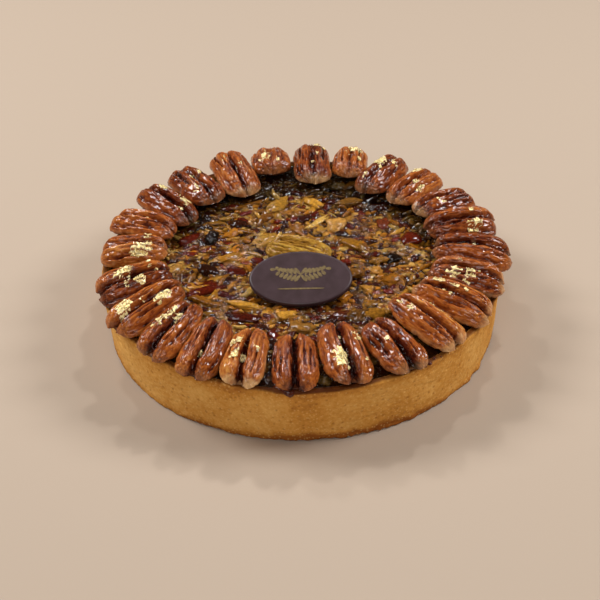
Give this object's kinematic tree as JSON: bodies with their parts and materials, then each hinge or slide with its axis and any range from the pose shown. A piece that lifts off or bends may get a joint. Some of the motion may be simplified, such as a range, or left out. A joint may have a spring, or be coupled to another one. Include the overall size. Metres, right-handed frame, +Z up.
{
  "type": "pecan pie",
  "caption": "Round low pecan pie: shortcrust shell, syrup and chopped nut filling, a ring of glazed pecan halves, and an oval chocolate disc leaning on a nut.",
  "frame": {"origin": "middle of the round flat base of the shell", "axes": "+Z up, -Y towards the front, the side that the chocolate disc's face leans to"},
  "size_m": [0.1883, 0.1872, 0.0442],
  "materials": {
    "crust": "baked shortcrust, dry and finely crumbly",
    "filling": "chopped nuts in clear dark syrup",
    "pecan": "roasted pecan with a syrup glaze",
    "pale_nut": "lightly roasted pecan, glazed",
    "chocolate": "dark chocolate, moulded, satin",
    "gold_leaf": "crumpled edible gold leaf"
  },
  "bodies": {
    "root": {"crust": "crust", "filling": "filling", "plaque": "chocolate", "nut_prop": "pale_nut", "pecan_01": "pecan", "pecan_02": "pecan", "pecan_03": "pecan", "pecan_04": "pecan", "pecan_05": "pecan", "pecan_06": "pecan", "pecan_07": "pecan", "pecan_08": "pecan", "pecan_09": "pecan", "pecan_10": "pecan", "pecan_11": "pecan", "pecan_12": "pecan", "pecan_13": "pecan", "pecan_14": "pecan", "pecan_15": "pecan", "pecan_16": "pecan", "pecan_17": "pecan", "pecan_18": "pecan", "pecan_19": "pecan", "pecan_20": "pecan", "pecan_21": "pecan", "pecan_22": "pecan", "pecan_23": "pecan", "pecan_24": "pecan"}
  },
  "joints": []
}
